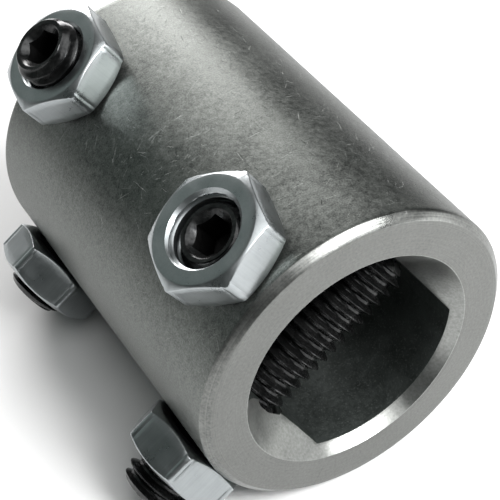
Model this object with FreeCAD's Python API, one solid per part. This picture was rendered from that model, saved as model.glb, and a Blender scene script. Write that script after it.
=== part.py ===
import FreeCAD, Part
import math
import os

# Rigid set-screw shaft coupler: a plain steel sleeve with a double-D bore, closed on its two shafts by
# four hexagon-socket set screws, each locked by a thin hexagon nut. Millimetres.
# It lies on its side, as such a part rests on a bench: on the sleeve and on the lower row's nuts.
# Frame: +Z up, origin on the bore axis in the plane of the front end face, the sleeve running back
# along +Y. The upper row of screws leans LEAN degrees from +Z towards -X, and the lower row stands
# square to it. The bore's two flats face the lower row.

V = FreeCAD.Vector
INCH = 25.4

# Sleeve: 1.5 in round bar, 2 in long.
BODY_RADIUS = 1.5 * INCH / 2
BODY_LENGTH = 2.0 * INCH
EDGE_BREAK_RADIAL = 0.90
EDGE_BREAK_AXIAL = 0.82

# Double-D bore for a 1 in shaft, with a countersink at each mouth.
BORE_RADIUS = 12.90
BORE_HALF_FLATS = 10.50
MOUTH_RADIUS = 13.90
MOUTH_CONE_SLOPE = 1.42  # axial depth per millimetre of radius

# Screw stations, one in each row at each end of the sleeve.
STATION_FROM_END = 5 / 16 * INCH

# How far the upper row leans from upright, in degrees.
LEAN = 35.3

# 5/16-18 UNC thread.
THREAD_RADIUS = 5 / 16 * INCH / 2
THREAD_PITCH = INCH / 18
THREAD_DEPTH = 0.6134 * THREAD_PITCH
THREAD_HALF_ANGLE = math.radians(30)
RUNNING_CLEARANCE = 0.05
TAPPED_RADIUS = THREAD_RADIUS + RUNNING_CLEARANCE
TAPPED_GROOVE_DEPTH = 0.40

# Set screws: hexagon socket, chamfered top, cup point.
SOCKET_FLATS = 5 / 32 * INCH
SOCKET_DEPTH = 4.2
SOCKET_MOUTH_RADIUS = 2.75
SOCKET_LEAD_IN = 0.76
TOP_CHAMFER = 0.75
POINT_RADIUS = 2.35
CUP_RADIUS = 1.75
CUP_DEPTH = 0.85
DRILL_POINT_SLOPE = 0.60  # axial depth per millimetre of radius

# Jam nuts: thin, double-chamfered hexagon with a countersink at each thread mouth.
NUT_FLATS = 12.45
NUT_THICKNESS = 3 / 16 * INCH
NUT_CORNER_ROUND = 0.6
NUT_CHAMFER_FACE_RADIUS = 0.955 * NUT_FLATS / 2
NUT_CHAMFER_SLOPE = math.tan(math.radians(30))
NUT_MOUTH_RADIUS = 4.45
NUT_SEAT_GAP = 0.05

SHORT_SCREW = 1 / 2 * INCH
LONG_SCREW = (1 + 1 / 2) * INCH

# Each station: end, row, screw length, how far the screw's top stands off the sleeve,
# how far the nut is turned, and how far the screw's socket is turned (degrees).
STATIONS = {
    "rear_upper": ("rear", "upper", SHORT_SCREW, 7.05, -11.5, 21.0),
    "front_upper": ("front", "upper", SHORT_SCREW, 3.80, -16.6, 12.0),
    "rear_lower": ("rear", "lower", SHORT_SCREW, 6.40, 16.0, 6.0),
    "front_lower": ("front", "lower", LONG_SCREW, 8.60, 49.0, 39.0),
}


def revolved(points):
    """A solid turned about Z from (radius, height) corners."""
    corners = [V(r, 0, z) for r, z in points]
    face = Part.Face(Part.makePolygon(corners + corners[:1]))
    return face.revolve(V(), V(0, 0, 1), 360)


def hexagon(flats, bottom, height, turn=0.0):
    """A hexagonal prism about Z with a corner towards +X before it is turned."""
    corner = flats / math.sqrt(3)
    angles = [math.radians(60 * k + turn) for k in range(6)]
    corners = [V(corner * math.cos(a), corner * math.sin(a), bottom) for a in angles]
    return Part.Face(Part.makePolygon(corners + corners[:1])).extrude(V(0, 0, height))


def helical_ridge(mouth_radius, tip_radius, bottom, top):
    """A right-hand 60 degree thread form wound about Z, wide at mouth_radius and narrow at tip_radius.

    It runs past both heights. One turn is swept, and copies of it are stitched end to end.
    """
    depth = abs(mouth_radius - tip_radius)
    tip_half = THREAD_PITCH / 12
    mouth_half = tip_half + depth * math.tan(THREAD_HALF_ANGLE)
    start = bottom - THREAD_PITCH
    turns = math.ceil((top - bottom) / THREAD_PITCH) + 2
    corners = [
        V(mouth_radius, 0, start - mouth_half),
        V(tip_radius, 0, start - tip_half),
        V(tip_radius, 0, start + tip_half),
        V(mouth_radius, 0, start + mouth_half),
    ]
    profile = Part.makePolygon(corners + corners[:1])
    path = Part.makeHelix(THREAD_PITCH, THREAD_PITCH, min(mouth_radius, tip_radius))
    path.translate(V(0, 0, start))
    turn = Part.Wire(path).makePipeShell([profile], False, True)
    faces = []
    for step in range(turns):
        faces += moved_up(turn, step * THREAD_PITCH).Faces
    cap = Part.Face(profile)
    shell = Part.makeShell([*faces, cap, moved_up(cap, turns * THREAD_PITCH)])
    shell.sewShape()
    return Part.Solid(shell)


def moved_up(shape, height):
    """A copy of a shape, that much higher."""
    copy = shape.copy()
    copy.translate(V(0, 0, height))
    return copy


def threaded_hole(bottom, length):
    """The space a tapped hole takes about Z: a clearance bore with a helical groove beyond it."""
    bore = Part.makeCylinder(TAPPED_RADIUS, length, V(0, 0, bottom))
    groove = helical_ridge(TAPPED_RADIUS - 0.1, TAPPED_RADIUS + TAPPED_GROOVE_DEPTH, bottom, bottom + length)
    return bore, groove


def make_set_screw(length, socket_turn):
    """A set screw along Z with its point at z = 0 and its socket opening at z = length."""
    point_cone = THREAD_RADIUS - POINT_RADIUS
    blank = revolved([
        (0, CUP_DEPTH),
        (CUP_RADIUS, 0),
        (POINT_RADIUS, 0),
        (THREAD_RADIUS, point_cone),
        (THREAD_RADIUS, length - TOP_CHAMFER),
        (THREAD_RADIUS - TOP_CHAMFER, length),
        (0, length),
    ])
    groove = helical_ridge(THREAD_RADIUS + 0.05, THREAD_RADIUS - THREAD_DEPTH, 0, length)
    socket = hexagon(SOCKET_FLATS, length - SOCKET_DEPTH, SOCKET_DEPTH + 1, socket_turn)
    lead_in = revolved([
        (0, length - SOCKET_LEAD_IN),
        (SOCKET_MOUTH_RADIUS - SOCKET_LEAD_IN, length - SOCKET_LEAD_IN),
        (SOCKET_MOUTH_RADIUS + 0.1, length + 0.1),
        (0, length + 0.1),
    ])
    drill_radius = SOCKET_FLATS / 2 - 0.02
    drill_point = revolved([
        (0, length - SOCKET_DEPTH - DRILL_POINT_SLOPE * drill_radius),
        (drill_radius, length - SOCKET_DEPTH),
        (drill_radius, length - SOCKET_DEPTH + 0.1),
        (0, length - SOCKET_DEPTH + 0.1),
    ])
    return blank.cut(groove).cut(socket).cut(lead_in).cut(drill_point)


def make_jam_nut(turn):
    """A jam nut along Z with its seat at z = 0."""
    corner_radius = NUT_FLATS / math.sqrt(3) + 0.1
    prism = hexagon(NUT_FLATS, 0, NUT_THICKNESS)
    prism = prism.makeFillet(NUT_CORNER_ROUND, upright_edges(prism))
    drop = (corner_radius - NUT_CHAMFER_FACE_RADIUS) * NUT_CHAMFER_SLOPE
    envelope = revolved([
        (0, 0),
        (NUT_CHAMFER_FACE_RADIUS, 0),
        (corner_radius, drop),
        (corner_radius, NUT_THICKNESS - drop),
        (NUT_CHAMFER_FACE_RADIUS, NUT_THICKNESS),
        (0, NUT_THICKNESS),
    ])
    mouth_depth = NUT_MOUTH_RADIUS - TAPPED_RADIUS
    mouths = [
        revolved([(0, -0.1), (NUT_MOUTH_RADIUS + 0.1, -0.1), (TAPPED_RADIUS, mouth_depth), (0, mouth_depth)]),
        revolved([
            (0, NUT_THICKNESS - mouth_depth),
            (TAPPED_RADIUS, NUT_THICKNESS - mouth_depth),
            (NUT_MOUTH_RADIUS + 0.1, NUT_THICKNESS + 0.1),
            (0, NUT_THICKNESS + 0.1),
        ]),
    ]
    nut = prism.common(envelope)
    for cutter in (*threaded_hole(-1, NUT_THICKNESS + 2), *mouths):
        nut = nut.cut(cutter)
    nut.rotate(V(), V(0, 0, 1), turn)
    return nut


def upright_edges(shape):
    """The edges of a prism that run along Z."""
    return [e for e in shape.Edges if abs(e.tangentAt(e.FirstParameter).z) > 0.99]


def make_coupler_body():
    """The sleeve, upright: turned bar, double-D bore, countersunk mouths and four tapped holes."""
    sleeve = revolved([
        (0, 0),
        (BODY_RADIUS - EDGE_BREAK_RADIAL, 0),
        (BODY_RADIUS, EDGE_BREAK_AXIAL),
        (BODY_RADIUS, BODY_LENGTH - EDGE_BREAK_AXIAL),
        (BODY_RADIUS - EDGE_BREAK_RADIAL, BODY_LENGTH),
        (0, BODY_LENGTH),
    ])
    bore = Part.makeCylinder(BORE_RADIUS, BODY_LENGTH + 2, V(0, 0, -1))
    between_flats = Part.makeBox(
        4 * BORE_RADIUS, 2 * BORE_HALF_FLATS, BODY_LENGTH + 4, V(-2 * BORE_RADIUS, -BORE_HALF_FLATS, -2)
    )
    cone_height = MOUTH_RADIUS * MOUTH_CONE_SLOPE
    rear_mouth = Part.makeCone(MOUTH_RADIUS, 0, cone_height, V())
    front_mouth = Part.makeCone(0, MOUTH_RADIUS, cone_height, V(0, 0, BODY_LENGTH - cone_height))
    body = sleeve.cut(bore.common(between_flats)).cut(rear_mouth).cut(front_mouth)
    for end, row, *_ in STATIONS.values():
        for cutter in threaded_hole(BORE_HALF_FLATS - 4, BODY_RADIUS - BORE_HALF_FLATS + 6):
            body = body.cut(put_at_station(cutter, end, row, 0))
    return body


def put_at_station(shape, end, row, offset):
    """Stand a shape made along Z on a screw axis of the upright sleeve, its z = 0 that far from the bore axis.

    Upright, the front end is on top, the upper row points along +X and the lower row along +Y.
    """
    placed = shape.copy()
    if row == "upper":
        placed.rotate(V(), V(0, 1, 0), 90)
        placed.rotate(V(), V(1, 0, 0), 180)
        outward = V(1, 0, 0)
    else:
        placed.rotate(V(), V(1, 0, 0), -90)
        placed.rotate(V(), V(0, 1, 0), -90)
        outward = V(0, 1, 0)
    height = STATION_FROM_END if end == "rear" else BODY_LENGTH - STATION_FROM_END
    placed.translate(outward * offset + V(0, 0, height))
    return placed


def lay_down(shape):
    """Turn an upright shape about the bore axis by the lean, then tip its front end towards -Y."""
    shape.rotate(V(), V(0, 0, 1), 90 + LEAN)
    shape.rotate(V(), V(1, 0, 0), 90)
    shape.translate(V(0, BODY_LENGTH, 0))


def main():
    os.makedirs("parts", exist_ok=True)
    nodes = {"coupler_body": make_coupler_body()}
    for name, (end, row, length, stand_off, nut_turn, socket_turn) in STATIONS.items():
        screw = make_set_screw(length, socket_turn)
        nut = make_jam_nut(nut_turn)
        nodes[name + "_set_screw"] = put_at_station(screw, end, row, BODY_RADIUS + stand_off - length)
        nodes[name + "_jam_nut"] = put_at_station(nut, end, row, BODY_RADIUS + NUT_SEAT_GAP)
    for name, shape in nodes.items():
        lay_down(shape)
        if len(shape.Solids) != 1 or not shape.isValid():
            raise RuntimeError(f"{name} has {len(shape.Solids)} solids, valid {shape.isValid()}")
        shape.Solids[0].exportStep(f"parts/{name}.step")


main()
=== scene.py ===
import math
import random

import bmesh
import bpy
from mathutils import Matrix, Vector


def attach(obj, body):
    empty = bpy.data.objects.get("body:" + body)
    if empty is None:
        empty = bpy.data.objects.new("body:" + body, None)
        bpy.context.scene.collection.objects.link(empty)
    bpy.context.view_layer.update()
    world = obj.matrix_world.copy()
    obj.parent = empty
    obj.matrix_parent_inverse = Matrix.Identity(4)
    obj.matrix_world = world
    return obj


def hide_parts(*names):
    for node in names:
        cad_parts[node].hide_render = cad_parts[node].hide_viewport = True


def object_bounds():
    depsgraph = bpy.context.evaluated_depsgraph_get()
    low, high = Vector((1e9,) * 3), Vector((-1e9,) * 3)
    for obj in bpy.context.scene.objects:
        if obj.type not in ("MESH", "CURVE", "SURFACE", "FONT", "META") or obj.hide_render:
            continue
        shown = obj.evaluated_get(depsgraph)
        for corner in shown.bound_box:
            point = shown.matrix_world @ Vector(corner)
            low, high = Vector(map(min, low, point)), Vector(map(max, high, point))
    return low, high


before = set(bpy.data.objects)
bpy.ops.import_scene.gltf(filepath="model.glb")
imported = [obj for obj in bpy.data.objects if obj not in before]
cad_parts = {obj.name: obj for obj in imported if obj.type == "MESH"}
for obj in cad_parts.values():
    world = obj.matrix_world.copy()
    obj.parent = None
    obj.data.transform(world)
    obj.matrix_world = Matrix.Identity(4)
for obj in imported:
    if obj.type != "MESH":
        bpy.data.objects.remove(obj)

# The looks of a rigid set-screw shaft coupler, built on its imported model. Metres, in the part's frame:
# the bore axis runs along Y with the front end face at y = 0, and the screw rows lean off +Z.

FRAME_LOW, FRAME_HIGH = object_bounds()

MM = 0.001
INCH = 0.0254
TURN = 2 * math.pi

# Sleeve and bore.
BODY_RADIUS = 1.5 * INCH / 2
BODY_LENGTH = 2.0 * INCH
EDGE_BREAK_RADIAL = 0.90 * MM
EDGE_BREAK_AXIAL = 0.82 * MM
BORE_RADIUS = 12.90 * MM
BORE_HALF_FLATS = 10.50 * MM
MOUTH_RADIUS = 13.90 * MM
MOUTH_CONE_SLOPE = 1.42
FACE_RING_RADII = (17.6 * MM, 16.8 * MM, 16.0 * MM, 15.2 * MM, 14.5 * MM)
STATION_FROM_END = 5 / 16 * INCH
LEAN = math.radians(35.3)

# 5/16-18 thread. The screws' grooves climb all the way to a rounded crest. The tapped ones climb over as
# little length as 60 degree flanks would and leave a flat crest, just outside the screws' crests.
THREAD_RADIUS = 5 / 16 * INCH / 2
THREAD_PITCH = INCH / 18
THREAD_DEPTH = 0.6134 * THREAD_PITCH
TAPPED_RADIUS = THREAD_RADIUS + 0.05 * MM
TAPPED_GROOVE_DEPTH = 0.40 * MM
TAPPED_CLIMB = TAPPED_GROOVE_DEPTH * math.tan(math.radians(30))
ROOT_HALF_FLAT = THREAD_PITCH / 12
SCREW_CLIMB = THREAD_PITCH / 2 - ROOT_HALF_FLAT

# Set screws.
SOCKET_FLATS = 5 / 32 * INCH
SOCKET_DEPTH = 4.2 * MM
SOCKET_MOUTH_RADIUS = 2.75 * MM
TOP_CHAMFER = 0.75 * MM
POINT_RADIUS = 2.35 * MM
CUP_RADIUS = 1.75 * MM
CUP_DEPTH = 0.85 * MM
DRILL_POINT_SLOPE = 0.60
SHORT_SCREW = 1 / 2 * INCH
LONG_SCREW = 1.5 * INCH

# Jam nuts.
NUT_FLATS = 12.45 * MM
NUT_THICKNESS = 3 / 16 * INCH
NUT_CORNER_ROUND = 0.6 * MM
NUT_CHAMFER_FACE_RADIUS = 0.955 * NUT_FLATS / 2
NUT_CHAMFER_SLOPE = math.tan(math.radians(30))
NUT_EDGE_SOFTNESS = 0.07 * MM
NUT_MOUTH_RADIUS = 4.45 * MM
NUT_THREAD_START = -1 * MM
NUT_SEAT_GAP = 0.05 * MM

# Each station: end, row, screw length, how far the screw's top stands off the sleeve,
# how far the nut is turned, and how far the screw's socket is turned (degrees).
STATIONS = {
    "rear_upper": ("rear", "upper", SHORT_SCREW, 7.05 * MM, -11.5, 21.0),
    "front_upper": ("front", "upper", SHORT_SCREW, 3.80 * MM, -16.6, 12.0),
    "rear_lower": ("rear", "lower", SHORT_SCREW, 6.40 * MM, 16.0, 6.0),
    "front_lower": ("front", "lower", LONG_SCREW, 8.60 * MM, 49.0, 39.0),
}
ROW_OUTWARD = {
    "upper": Vector((-math.sin(LEAN), 0, math.cos(LEAN))),
    "lower": Vector((-math.cos(LEAN), 0, -math.sin(LEAN))),
}

# Mesh fineness.
THREAD_STEPS = 20
SCREW_COLUMNS = 120
HOLE_COLUMNS = 60
HOLE_BOTTOM = BORE_HALF_FLATS - 4 * MM
HOLE_TOP = BODY_RADIUS + 2 * MM
BODY_COLUMNS = 720
BODY_SPANS = 18
BORE_SPANS_FROM_END = 5 * MM
WALL_SPANS_FROM_END = 1.5 * MM
WELD_DISTANCE = 5e-7
SHARP_EDGE = math.radians(32)
TIP_RADIUS = 0.01 * MM

# The sleeve's regions, numbered as its materials are.
SKIN, EDGE_BREAK, END_FACE, MOUTH, BORE = range(5)

# Turned steel, in the order of the sleeve's regions: dark and bright colour, rings, how deep they are,
# and roughness.
TURNED_STEEL = {
    "turned_edge_break": ((0.088, 0.091, 0.088, 1), (0.246, 0.252, 0.241, 1), 6000, 1.2, 0.30),
    "turned_end_face": ((0.136, 0.139, 0.133, 1), (0.225, 0.230, 0.221, 1), 9000, 0.35, 0.42),
    "turned_mouth": ((0.168, 0.172, 0.165, 1), (0.360, 0.368, 0.355, 1), 5000, 0.8, 0.34),
}

# Studio.
FLOOR_HALF = 1.5
LIGHTS_AIM = Vector((0, BODY_LENGTH / 2, 0))
WARM_WHITE = (1.0, 0.98, 0.975)
PLAIN_WHITE = (1.0, 1.0, 1.0)
COOL_WHITE = (0.84, 1.0, 0.95)
# Each light: direction from the part, distance, width and height, radiance, colour.
LIGHTS = {
    "back_softbox": ((0.24, 0.87, 0.425), 0.6, (0.36, 0.18), 15.5, WARM_WHITE),
    "front_overhead_softbox": ((0.29, -0.65, 0.70), 0.6, (0.29, 0.27), 23.0, PLAIN_WHITE),
    "low_right_softbox": ((0.80, -0.58, 0.06), 0.6, (0.34, 0.16), 5.0, PLAIN_WHITE),
    "overhead_softbox": ((0.10, -0.33, 0.94), 0.8, (0.9, 0.9), 2.2, PLAIN_WHITE),
    "back_left_panel": ((-0.58, 0.68, 0.45), 0.6, (0.5, 0.45), 0.22, COOL_WHITE),
}
ROOM_COLOR = (0.88, 1.0, 0.96, 1)
ROOM_STRENGTH = 0.07
CAMERA_PLACE = (-0.05999, -0.08176, 0.10863)
CAMERA_RIGHT = (0.8594, -0.5111, -0.0174)
CAMERA_BACK = (-0.3672, -0.6404, 0.6746)
CAMERA_LENS = 99.86
CAMERA_SENSOR = 36


# ---------------------------------------------------------------- mesh helpers

def mesh_object(name, points, faces, slots):
    """A smooth-shaded mesh with its doubled points welded; each face carries its material's number."""
    mesh = bpy.data.meshes.new(name)
    mesh.from_pydata(points, [], [corners for corners, _ in faces])
    mesh.polygons.foreach_set("material_index", [slot for _, slot in faces])
    work = bmesh.new()
    work.from_mesh(mesh)
    bmesh.ops.remove_doubles(work, verts=work.verts, dist=WELD_DISTANCE)
    bmesh.ops.recalc_face_normals(work, faces=work.faces)
    work.to_mesh(mesh)
    work.free()
    for material in slots:
        mesh.materials.append(material)
    mesh.shade_smooth()
    mesh.set_sharp_from_angle(angle=SHARP_EDGE)
    piece = bpy.data.objects.new(name, mesh)
    bpy.context.scene.collection.objects.link(piece)
    return piece


def even_angles(count):
    return [TURN * k / count for k in range(count)]


def polar(radius, angle, height):
    return (radius * math.cos(angle), radius * math.sin(angle), height)


def add_rows(points, faces, rows, slot_of_row):
    """Bridge rows of points, each row closed on itself, into a skin."""
    first = len(points)
    width = len(rows[0])
    for row in rows:
        points.extend(row)
    for r in range(len(rows) - 1):
        for c in range(width):
            d = (c + 1) % width
            a = first + r * width
            b = a + width
            faces.append(((a + c, a + d, b + d, b + c), slot_of_row(r)))


def add_thread(points, faces, radius_at, limit, angles, phase, bottom, top):
    """A helical skin between two heights.

    radius_at gives the radius for a place in the pitch, 0 to 1, and limit trims it for end chamfers.
    """
    low = math.floor((bottom - phase) / THREAD_PITCH * THREAD_STEPS) - THREAD_STEPS - 1
    high = math.ceil((top - phase) / THREAD_PITCH * THREAD_STEPS) + 1
    first = len(points)
    count = high - low + 1
    for angle in (*angles, angles[0] + TURN):
        lead = angle / TURN
        for i in range(low, high + 1):
            place = i / THREAD_STEPS
            height = phase + THREAD_PITCH * (place + lead)
            if height < bottom or height > top:
                height = min(max(height, bottom), top)
                place = (height - phase) / THREAD_PITCH - lead
            points.append(polar(limit(radius_at(place % 1), height), angle, height))
    for c in range(len(angles)):
        for i in range(count - 1):
            a = first + c * count + i
            b = a + count
            faces.append(((a, b, b + 1, a + 1), 0))


def groove_radius(place, crest, root, climb):
    """Radius of a thread whose groove is centred at place 0 and climbs to its crest over that distance."""
    distance = min(place, 1 - place) * THREAD_PITCH
    share = min(max((distance - ROOT_HALF_FLAT) / climb, 0), 1)
    rounded = (1 - math.cos(math.pi * share)) / 2
    return root + (crest - root) * (0.3 * share + 0.7 * rounded)


def tapped_radius(place):
    return groove_radius(place, TAPPED_RADIUS, TAPPED_RADIUS + TAPPED_GROOVE_DEPTH, TAPPED_CLIMB)


def from_mid_side(angle):
    """Angle from the middle of the nearest side of a hexagon with a corner at angle 0."""
    return angle % (TURN / 6) - TURN / 12


def station_matrix(end, row, offset, turn=0.0):
    """Stands a piece made along Z on a screw axis, its z = 0 that far from the bore axis."""
    out = ROW_OUTWARD[row]
    toward_front = Vector((0, -1, 0))
    across = out.cross(toward_front)
    y = STATION_FROM_END if end == "front" else BODY_LENGTH - STATION_FROM_END
    place = out * offset + Vector((0, y, 0))
    basis = Matrix((toward_front, across, out)).transposed().to_4x4()
    return Matrix.Translation(place) @ basis @ Matrix.Rotation(math.radians(turn), 4, "Z")


# ---------------------------------------------------------------- set screw

def make_screw(name, length, socket_turn, slots):
    """A set screw along Z, its point at z = 0 and its socket opening at z = length."""
    points, faces = [], []
    angles = even_angles(SCREW_COLUMNS)
    turn = math.radians(socket_turn)

    def radius_at(place):
        return groove_radius(place, THREAD_RADIUS, THREAD_RADIUS - THREAD_DEPTH, SCREW_CLIMB)

    def limit(radius, height):
        return min(radius, THREAD_RADIUS - TOP_CHAMFER + length - height, POINT_RADIUS + height)

    def thread_end(height):
        return [
            polar(limit(radius_at((height / THREAD_PITCH - a / TURN) % 1), height), a, height) for a in angles
        ]

    def ring(radius, height):
        return [polar(radius, a, height) for a in angles]

    def hexagon(angle):
        return SOCKET_FLATS / 2 / math.cos(from_mid_side(angle - turn))

    def mouth_ring(share):
        """A ring on the socket's conical mouth, that share of the way in to the hexagon."""
        row = []
        for a in angles:
            radius = SOCKET_MOUTH_RADIUS + (hexagon(a) - SOCKET_MOUTH_RADIUS) * share
            row.append(polar(radius, a, length - (SOCKET_MOUTH_RADIUS - radius)))
        return row

    def add_end(rows, slot_of_row, slot_of_tip):
        """Skin one end of the screw and close the small ring that it ends in."""
        add_rows(points, faces, rows, slot_of_row)
        faces.append((tuple(range(len(points) - SCREW_COLUMNS, len(points))), slot_of_tip))

    add_thread(points, faces, radius_at, limit, angles, 0, 0, length)

    rows = [
        thread_end(length),
        ring(SOCKET_MOUTH_RADIUS + 0.06 * MM, length),
        ring(SOCKET_MOUTH_RADIUS - 0.02 * MM, length - 0.03 * MM),
        mouth_ring(0.35),
        mouth_ring(1.0),
    ]
    cone_rows = len(rows) - 1
    for depth in (1.2 * MM, 2.4 * MM, SOCKET_DEPTH):
        rows.append([polar(hexagon(a), a, length - depth) for a in angles])
    drill = SOCKET_FLATS / 2 - 0.02 * MM
    for radius in (drill, drill / 2, TIP_RADIUS):
        rows.append(ring(radius, length - SOCKET_DEPTH - DRILL_POINT_SLOPE * (drill - radius)))
    # The socket's walls and drill point take slot 1, the darker oxide that paints shade into the socket.
    add_end(rows, lambda r: 0 if r < cone_rows else 1, 1)

    rows = [thread_end(0)]
    for radius in (CUP_RADIUS, CUP_RADIUS / 2, TIP_RADIUS):
        rows.append(ring(radius, CUP_DEPTH / CUP_RADIUS * (CUP_RADIUS - radius)))
    add_end(rows, lambda r: 0, 0)
    return mesh_object(name, points, faces, slots)


# ---------------------------------------------------------------- jam nut

def nut_columns():
    """Angles around the nut, close together at its rounded corners."""
    near = (0, 0.5, 1.0, 1.5, 2.0, 2.5, 3.1, 4.2, 6.0, 8.5, 11.5, 14.5, 17.5, 20.5, 23.5, 26.5, 30)
    sector = sorted({*near, *(60 - a for a in near)} - {60})
    return [math.radians(60 * k + a) for k in range(6) for a in sector]


def nut_radius(angle):
    """The nut's hexagon with rounded corners, one of them at angle 0."""
    side = NUT_FLATS / 2 / math.cos(from_mid_side(angle))
    from_corner = from_mid_side(angle + TURN / 12)
    centre = (NUT_FLATS - NUT_CORNER_ROUND * 2) / math.sqrt(3)
    inside = NUT_CORNER_ROUND ** 2 - (centre * math.sin(from_corner)) ** 2
    if inside <= 0:
        return side
    return min(side, centre * math.cos(from_corner) + math.sqrt(inside))


def make_nut(name, slots):
    """A jam nut along Z with its seat at z = 0 and a corner at angle 0."""
    points, faces = [], []
    angles = nut_columns()
    top = NUT_THICKNESS
    soft = NUT_EDGE_SOFTNESS
    sides = []
    for a in angles:
        radius = nut_radius(a)
        drop = max(radius - NUT_CHAMFER_FACE_RADIUS, 0) * NUT_CHAMFER_SLOPE
        sides.append((radius, a, top / 2 - drop))

    # Half of the outside, from the mouth over the chamfer and down the sides, about the nut's mid-plane.
    upper = []
    for radius, dip in (
        (NUT_MOUTH_RADIUS, 0),
        (NUT_MOUTH_RADIUS + 0.05 * MM, 0),
        (NUT_CHAMFER_FACE_RADIUS * 0.90, 0),
        (NUT_CHAMFER_FACE_RADIUS - soft, 0),
        (NUT_CHAMFER_FACE_RADIUS + soft, soft * NUT_CHAMFER_SLOPE),
    ):
        upper.append([polar(radius, a, top / 2 - dip) for a in angles])
    for inward, rise in ((1.2, 1.2 * NUT_CHAMFER_SLOPE), (0.35, -0.15), (0, -1.1)):
        upper.append([polar(radius - soft * inward, a, edge + soft * rise) for radius, a, edge in sides])
    upper.append([polar(radius, a, edge / 2) for radius, a, edge in sides])
    lower = [[(x, y, -z) for x, y, z in row] for row in reversed(upper)]
    rows = [[(x, y, z + top / 2) for x, y, z in row] for row in upper + lower]
    add_rows(points, faces, rows, lambda r: 0)

    def limit(radius, height):
        sink = NUT_MOUTH_RADIUS - TAPPED_RADIUS - min(height, top - height)
        return max(radius, TAPPED_RADIUS + max(sink, 0))

    add_thread(points, faces, tapped_radius, limit, angles, NUT_THREAD_START, 0, top)
    return mesh_object(name, points, faces, slots)


# ---------------------------------------------------------------- sleeve

def wobbles(angles, seed, size):
    """A small smooth irregularity around the axis, one value for each angle. Finer waves are weaker."""
    source = random.Random(seed)
    waves = []
    for count in (3, 7, 13, 29, 53, 97, 151):
        phase = source.uniform(0, TURN)
        waves.append((count, phase, source.uniform(0.4, 1) / count ** 0.35))
    return [sum(math.sin(count * a + phase) * w for count, phase, w in waves) * size / 3 for a in angles]


def body_angles(flats_at):
    """Even angles around the sleeve, with one moved to each corner between a flat and a round wall."""
    corner = math.acos(BORE_HALF_FLATS / BORE_RADIUS)
    angles = even_angles(BODY_COLUMNS)
    for side in (0, math.pi):
        for sign in (-1, 1):
            exact = (flats_at + side + sign * corner) % TURN
            angles[round(exact / TURN * BODY_COLUMNS) % BODY_COLUMNS] = exact
    return angles


def end_rows(angles, bore, seed):
    """Rings from the outer wall over one end into the bore, as (radius, depth) per angle, and a region."""
    break_depth = [EDGE_BREAK_AXIAL * (1 + w) for w in wobbles(angles, seed, 0.055)]
    rim = [BODY_RADIUS - EDGE_BREAK_RADIAL * (1 + w) for w in wobbles(angles, seed + 1, 0.035)]
    mouth = [MOUTH_RADIUS * (1 + w) for w in wobbles(angles, seed + 2, 0.0006)]
    rows = [
        ([(BODY_RADIUS, d + 0.5 * MM) for d in break_depth], SKIN),
        ([(BODY_RADIUS, d + 0.10 * MM) for d in break_depth], SKIN),
        ([(BODY_RADIUS - 0.035 * MM, d - 0.02 * MM) for d in break_depth], EDGE_BREAK),
    ]
    for share in (0.3, 0.7):
        ring = [(BODY_RADIUS + (r - BODY_RADIUS) * share, d * (1 - share)) for d, r in zip(break_depth, rim)]
        rows.append((ring, EDGE_BREAK))
    rows.append(([(r + 0.04 * MM, 0.035 * MM) for r in rim], EDGE_BREAK))
    rows.append(([(r - 0.03 * MM, 0.0) for r in rim], END_FACE))
    for radius in FACE_RING_RADII:
        rows.append(([(radius, 0.0)] * len(angles), END_FACE))
    rows.append(([(m + 0.05 * MM, 0.0) for m in mouth], END_FACE))
    rows.append(([(m - 0.03 * MM, 0.03 * MM) for m in mouth], MOUTH))
    for share in (0.25, 0.5, 0.75, 0.97):
        ring = [(m + (b - m) * share, (m - b) * share * MOUTH_CONE_SLOPE) for m, b in zip(mouth, bore)]
        rows.append((ring, MOUTH))
    rows.append(([(b, (MOUTH_RADIUS - b) * MOUTH_CONE_SLOPE + 0.05 * MM) for b in bore], BORE))
    return rows


def make_body(name, slots):
    """The sleeve, its axis along Y, with its double-D bore, countersunk mouths and edge breaks."""
    flats_at = math.atan2(ROW_OUTWARD["lower"].z, ROW_OUTWARD["lower"].x)
    angles = body_angles(flats_at)
    bore = [min(BORE_RADIUS, BORE_HALF_FLATS / max(abs(math.cos(a - flats_at)), 1e-6)) for a in angles]
    front = end_rows(angles, bore, 11)
    rear = [([(r, BODY_LENGTH - d) for r, d in ring], region) for ring, region in end_rows(angles, bore, 31)]

    rings = list(front)
    for k in range(1, BODY_SPANS):
        y = BORE_SPANS_FROM_END + (BODY_LENGTH - 2 * BORE_SPANS_FROM_END) * k / BODY_SPANS
        rings.append(([(b, y) for b in bore], BORE))
    rings.extend(reversed(rear))
    for k in range(1, BODY_SPANS):
        y = BODY_LENGTH - WALL_SPANS_FROM_END - (BODY_LENGTH - 2 * WALL_SPANS_FROM_END) * k / BODY_SPANS
        rings.append(([(BODY_RADIUS, y)] * len(angles), SKIN))
    rings.append(front[0])

    rows = []
    for ring, _ in rings:
        rows.append([(r * math.cos(a), y, r * math.sin(a)) for (r, y), a in zip(ring, angles)])

    def region_between(r):
        """The higher region of a strip's two rings, but skin where the rear edge break meets the wall."""
        here, after = rings[r][1], rings[r + 1][1]
        return SKIN if after == SKIN else max(here, after)

    points, faces = [], []
    add_rows(points, faces, rows, region_between)
    body = mesh_object(name, points, faces, slots)
    drill_holes(body)
    return body


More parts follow.
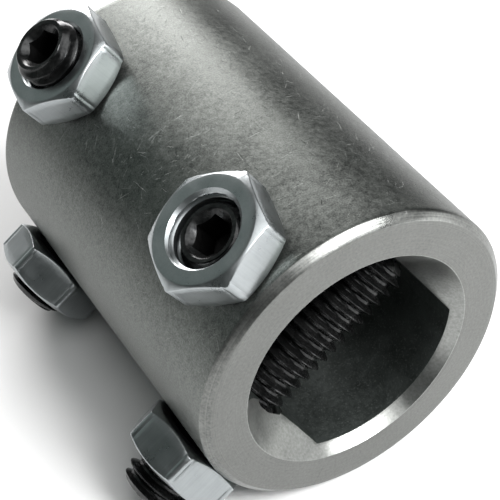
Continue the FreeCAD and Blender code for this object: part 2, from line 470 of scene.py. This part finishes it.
def add_hole_cutter(points, faces, place):
    """A closed threaded rod through the sleeve's wall on one screw axis."""
    angles = even_angles(HOLE_COLUMNS)
    rod = []
    add_thread(
        rod, faces, tapped_radius, lambda radius, height: radius, angles, HOLE_BOTTOM, HOLE_BOTTOM, HOLE_TOP
    )
    for height in (HOLE_BOTTOM, HOLE_TOP):
        first = len(rod)
        for a in angles:
            place_in_pitch = ((height - HOLE_BOTTOM) / THREAD_PITCH - a / TURN) % 1
            rod.append(polar(tapped_radius(place_in_pitch), a, height))
        rod.append((0, 0, height))
        for k in range(HOLE_COLUMNS):
            faces.append(((first + k, first + (k + 1) % HOLE_COLUMNS, first + HOLE_COLUMNS), 0))
    points.extend(tuple(place @ Vector(p)) for p in rod)


def drill_holes(body):
    """Cut the four tapped holes through the sleeve's wall."""
    points, faces = [], []
    for end, row, *_ in STATIONS.values():
        rod_points, rod_faces = [], []
        add_hole_cutter(rod_points, rod_faces, station_matrix(end, row, 0))
        first = len(points)
        points.extend(rod_points)
        faces.extend((tuple(first + c for c in corners), slot) for corners, slot in rod_faces)
    cutter = mesh_object("hole_cutter", points, faces, [body.data.materials[BORE]])
    cut = body.modifiers.new("holes", "BOOLEAN")
    cut.operation = "DIFFERENCE"
    cut.solver = "EXACT"
    cut.material_mode = "TRANSFER"
    cut.object = cutter
    shown = body.evaluated_get(bpy.context.evaluated_depsgraph_get())
    drilled = bpy.data.meshes.new_from_object(shown)
    body.modifiers.clear()
    solid = body.data
    body.data = drilled
    bpy.data.meshes.remove(solid)
    bpy.data.objects.remove(cutter)
    drilled.set_sharp_from_angle(angle=SHARP_EDGE)


# ---------------------------------------------------------------- materials

class Look:
    """A procedural material that is built up node by node around one principled shader."""

    def __init__(self, name):
        self.material = bpy.data.materials.new(name)
        self.material.use_nodes = True
        self.tree = self.material.node_tree
        self.shader = self.tree.nodes["Principled BSDF"]
        self.place = self.node("ShaderNodeTexCoord").outputs["Object"]

    def node(self, kind, **settings):
        node = self.tree.nodes.new(kind)
        for key, value in settings.items():
            setattr(node, key, value)
        return node

    def put(self, socket, value):
        if isinstance(value, bpy.types.NodeSocket):
            self.tree.links.new(value, socket)
        else:
            socket.default_value = value

    def math(self, operation, a, b=0.0):
        node = self.node("ShaderNodeMath", operation=operation)
        self.put(node.inputs[0], a)
        self.put(node.inputs[1], b)
        return node.outputs[0]

    def total(self, first, *others):
        for value in others:
            first = self.math("ADD", first, value)
        return first

    def times(self, value, factor):
        return self.math("MULTIPLY", value, factor)

    def minus(self, value, taken):
        return self.math("SUBTRACT", value, taken)

    def parts(self, vector):
        node = self.node("ShaderNodeSeparateXYZ")
        self.put(node.inputs[0], vector)
        return node.outputs

    def turned(self, rotation, cell=(1, 1, 1)):
        """The place in turned axes, counted in cells of that size."""
        node = self.node("ShaderNodeMapping", vector_type="TEXTURE")
        self.put(node.inputs["Vector"], self.place)
        node.inputs["Rotation"].default_value = rotation
        node.inputs["Scale"].default_value = cell
        return node.outputs[0]

    def noise(self, scale, detail, vector=None):
        node = self.node("ShaderNodeTexNoise")
        self.put(node.inputs["Vector"], vector or self.place)
        node.inputs["Scale"].default_value = scale
        node.inputs["Detail"].default_value = detail
        node.inputs["Roughness"].default_value = 0.55
        return node.outputs["Fac"]

    def spread(self, value, low_in, high_in, low, high):
        """Map a range onto another, clamped."""
        node = self.node("ShaderNodeMapRange")
        for socket, item in zip(node.inputs, (value, low_in, high_in, low, high)):
            self.put(socket, item)
        return node.outputs[0]

    def sway(self, value, amount, half_range=0.2):
        """A noise's middle range as a change of up to that amount each way."""
        return self.spread(value, 0.5 - half_range, 0.5 + half_range, -amount, amount)

    def mix(self, factor, a, b):
        node = self.node("ShaderNodeMix", data_type="RGBA")
        self.put(node.inputs[0], factor)
        self.put(node.inputs[6], a)
        self.put(node.inputs[7], b)
        return node.outputs[2]

    def shade(self, tone, dark, bright):
        """A colour between two by a tone that sways about 0."""
        return self.mix(self.spread(tone, -0.4, 0.4, 0, 1), dark, bright)

    def finish(self, color, roughness, height, relief, metallic):
        bump = self.node("ShaderNodeBump")
        bump.inputs["Strength"].default_value = 1.0
        bump.inputs["Distance"].default_value = relief
        self.put(bump.inputs["Height"], height)
        self.put(self.shader.inputs["Base Color"], color)
        self.put(self.shader.inputs["Roughness"], roughness)
        self.put(self.shader.inputs["Normal"], bump.outputs[0])
        self.put(self.shader.inputs["Metallic"], metallic)
        return self.material


def short_scratches(look, scale, length, width, seed):
    """Short fine scratches, at most one in each cell, each turned its own way. 1 on a scratch."""
    shifted = look.turned((seed, seed * 2, seed * 3))
    cells = look.node("ShaderNodeTexVoronoi")
    look.put(cells.inputs["Vector"], shifted)
    cells.inputs["Scale"].default_value = scale
    off = look.node("ShaderNodeVectorMath", operation="SUBTRACT")
    look.put(off.inputs[0], shifted)
    look.put(off.inputs[1], cells.outputs["Position"])
    angles = look.node("ShaderNodeVectorMath", operation="SCALE")
    look.put(angles.inputs[0], cells.outputs["Color"])
    angles.inputs["Scale"].default_value = 6.3
    spin = look.node("ShaderNodeVectorRotate", rotation_type="EULER_XYZ")
    look.put(spin.inputs["Vector"], off.outputs[0])
    look.put(spin.inputs["Rotation"], angles.outputs[0])
    x, y, _ = look.parts(spin.outputs[0])
    along = look.spread(look.math("ABSOLUTE", x), length * 0.6, length, 1, 0)
    across = look.spread(look.math("ABSOLUTE", y), width * 0.4, width, 1, 0)
    chance = look.node("ShaderNodeSeparateColor")
    look.put(chance.inputs[0], cells.outputs["Color"])
    chosen = look.math("GREATER_THAN", chance.outputs[0], 0.55)
    return look.times(look.times(along, across), chosen)


def bare_skin():
    """The sleeve's outside: drawn bar, dull grey, finely speckled, with handling scratches."""
    look = Look("bare_steel_skin")
    fine = look.noise(5200, 3)
    grain = look.noise(1500, 4)
    cloud = look.noise(130, 3)
    scratch = short_scratches(look, 600, 0.75 * MM, 0.022 * MM, 0.7)
    marks = short_scratches(look, 1100, 0.42 * MM, 0.020 * MM, 2.1)
    tone = look.total(look.sway(fine, 0.24), look.sway(grain, 0.12, 0.15), look.sway(cloud, 0.08, 0.15))
    tone = look.total(tone, look.spread(scratch, 0, 1, 0, 0.4))
    tone = look.minus(tone, look.spread(marks, 0, 1, 0, 0.3))
    color = look.shade(tone, (0.056, 0.061, 0.057, 1), (0.196, 0.208, 0.196, 1))
    roughness = look.spread(grain, 0.3, 0.7, 0.36, 0.46)
    roughness = look.total(roughness, look.spread(cloud, 0.3, 0.7, -0.03, 0.04))
    height = look.total(look.times(fine, 0.5), look.times(grain, 0.8))
    height = look.minus(height, look.times(look.total(scratch, marks), 0.9))
    return look.finish(color, roughness, height, 0.018 * MM, 1.0)


def turned_look(name, dark, bright, rings, ring_depth, rough):
    """Turned steel: fine rings about the bore axis, broken by grain."""
    look = Look(name)
    x, y, z = look.parts(look.place)
    radius = look.math("SQRT", look.total(look.math("POWER", x, 2), look.math("POWER", z, 2)))
    line = look.node("ShaderNodeTexNoise", noise_dimensions="1D")
    look.put(line.inputs["W"], look.total(radius, look.times(y, 0.7)))
    line.inputs["Scale"].default_value = rings
    line.inputs["Detail"].default_value = 2
    lines = line.outputs["Fac"]
    grain = look.noise(3200, 3)
    cloud = look.noise(240, 3)
    scratch = short_scratches(look, 500, 1.1 * MM, 0.03 * MM, 1.4)
    tone = look.total(look.sway(lines, 0.12), look.sway(grain, 0.2), look.sway(cloud, 0.12))
    tone = look.minus(tone, look.spread(scratch, 0, 1, 0, 0.2))
    roughness = look.total(rough, look.spread(cloud, 0.3, 0.7, -0.05, 0.06))
    height = look.total(look.times(lines, ring_depth), look.times(grain, 0.35))
    height = look.minus(height, look.times(scratch, 0.6))
    return look.finish(look.shade(tone, dark, bright), roughness, height, 0.010 * MM, 1.0)


def painted_shade_bore_look():
    """Inside the bore: machined steel, coloured dark as painted shade, with a few lighter specks."""
    look = Look("bore_steel_painted_shade")
    grain = look.noise(1800, 4)
    cloud = look.noise(300, 3)
    specks = look.spread(look.noise(4200, 2), 0.56, 0.70, 0, 1)
    # Painted shade: both colours are far darker than the end face's steel and stand in for the shade inside
    # the bore.
    painted_shade_base = look.mix(look.spread(cloud, 0.3, 0.7, 0, 1), (0.020, 0.024, 0.022, 1), (0.048, 0.055, 0.052, 1))
    color = look.mix(specks, painted_shade_base, (0.066, 0.073, 0.070, 1))
    return look.finish(color, look.spread(grain, 0.3, 0.7, 0.42, 0.62), grain, 0.02 * MM, 0.8)


def screw_look(name, dark, bright, rough):
    """Black oxide, lightly oiled, worn a little brighter in places."""
    look = Look(name)
    grain = look.noise(2600, 3)
    cloud = look.noise(420, 3)
    tone = look.total(look.spread(grain, 0.35, 0.7, 0, 0.5), look.spread(cloud, 0.4, 0.7, 0, 0.5))
    roughness = look.total(rough, look.spread(cloud, 0.3, 0.7, -0.06, 0.10))
    return look.finish(look.mix(tone, dark, bright), roughness, grain, 0.004 * MM, 0.9)


def zinc_look(row):
    """Bright zinc plate on a drawn hexagon: fine lines along the nut's axis and small handling marks."""
    look = Look("zinc_plate_" + row)
    axes = station_matrix("front", row, 0).to_euler()
    lines = look.noise(1.0, 3, look.turned(axes, (0.19 * MM, 0.19 * MM, 3.8 * MM)))
    grain = look.noise(4200, 3)
    cloud = look.noise(380, 3)
    scratch = short_scratches(look, 650, 0.8 * MM, 0.022 * MM, 0.3)
    tone = look.total(look.sway(lines, 0.10), look.sway(cloud, 0.14))
    tone = look.minus(tone, look.spread(scratch, 0, 1, 0, 0.08))
    color = look.shade(tone, (0.272, 0.294, 0.302, 1), (0.425, 0.447, 0.455, 1))
    roughness = look.spread(grain, 0.3, 0.7, 0.28, 0.33)
    roughness = look.total(roughness, look.spread(cloud, 0.3, 0.7, -0.03, 0.05))
    height = look.total(look.times(lines, 0.7), look.times(grain, 0.3), look.times(cloud, 0.6))
    return look.finish(color, roughness, height, 0.003 * MM, 1.0)


# ---------------------------------------------------------------- studio

def put_floor():
    """A plain pale floor under the part."""
    level = FRAME_LOW.z
    corners = [(x * FLOOR_HALF, y * FLOOR_HALF, level) for x, y in ((-1, -1), (1, -1), (1, 1), (-1, 1))]
    mesh = bpy.data.meshes.new("studio_floor")
    mesh.from_pydata(corners, [], [(0, 1, 2, 3)])
    floor = bpy.data.objects.new("studio_floor", mesh)
    bpy.context.scene.collection.objects.link(floor)
    look = Look("pale_floor")
    color = look.mix(look.noise(40, 2), (0.735, 0.735, 0.735, 1), (0.765, 0.765, 0.765, 1))
    mesh.materials.append(look.finish(color, 0.75, look.noise(900, 2), 0.01 * MM, 0.0))


def put_room():
    """A dim, slightly cool room, shown without a filmic curve so that the lit floor reaches white."""
    world = bpy.data.worlds.new("studio")
    world.use_nodes = True
    background = world.node_tree.nodes["Background"]
    background.inputs["Color"].default_value = ROOM_COLOR
    background.inputs["Strength"].default_value = ROOM_STRENGTH
    bpy.context.scene.world = world
    bpy.context.scene.view_settings.view_transform = "Standard"


def put_light(name, direction, distance, size, radiance, color):
    """A rectangular soft light in some direction from the part, facing it."""
    direction = Vector(direction).normalized()
    data = bpy.data.lights.new(name, "AREA")
    data.shape = "RECTANGLE"
    data.size, data.size_y = size
    data.energy = radiance * math.pi * size[0] * size[1]
    data.color = color
    light = bpy.data.objects.new(name, data)
    light.location = LIGHTS_AIM + direction * distance
    light.rotation_euler = (-direction).to_track_quat("-Z", "Y").to_euler()
    bpy.context.scene.collection.objects.link(light)


def put_camera():
    """The camera stands to the front left of the part and looks down at it."""
    data = bpy.data.cameras.new("camera")
    data.sensor_width = CAMERA_SENSOR
    data.lens = CAMERA_LENS
    data.clip_start = 0.01
    data.clip_end = 10
    camera = bpy.data.objects.new("camera", data)
    back = Vector(CAMERA_BACK).normalized()
    up = back.cross(Vector(CAMERA_RIGHT)).normalized()
    right = up.cross(back)
    basis = Matrix((right, up, back)).transposed().to_4x4()
    camera.matrix_world = Matrix.Translation(CAMERA_PLACE) @ basis
    bpy.context.scene.collection.objects.link(camera)
    bpy.context.scene.camera = camera


# ---------------------------------------------------------------- assembly

def main():
    put_floor()
    put_room()
    for name, light in LIGHTS.items():
        put_light(name, *light)
    put_camera()

    skin = bare_skin()
    turned = [turned_look(name, *look) for name, look in TURNED_STEEL.items()]
    body = make_body("sleeve", [skin, *turned, painted_shade_bore_look()])
    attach(body, "coupler_body")
    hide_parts("coupler_body")

    oxide = screw_look("black_oxide", (0.014, 0.0145, 0.015, 1), (0.070, 0.071, 0.071, 1), 0.22)
    # Painted shade: a darker, rougher copy of the black oxide for the inside of the hex sockets.
    socket = screw_look("black_oxide_socket_painted_shade", (0.004, 0.004, 0.004, 1), (0.014, 0.014, 0.014, 1), 0.55)
    zinc = {row: zinc_look(row) for row in ROW_OUTWARD}
    for name, (end, row, length, stand_off, nut_turn, socket_turn) in STATIONS.items():
        screw = make_screw(name + "_screw_look", length, socket_turn, [oxide, socket])
        screw.data.transform(station_matrix(end, row, BODY_RADIUS + stand_off - length))
        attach(screw, name + "_set_screw")
        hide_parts(name + "_set_screw")
        nut = make_nut(name + "_nut_look", [zinc[row]])
        nut.data.transform(station_matrix(end, row, BODY_RADIUS + NUT_SEAT_GAP, nut_turn))
        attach(nut, name + "_jam_nut")
        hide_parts(name + "_jam_nut")


main()
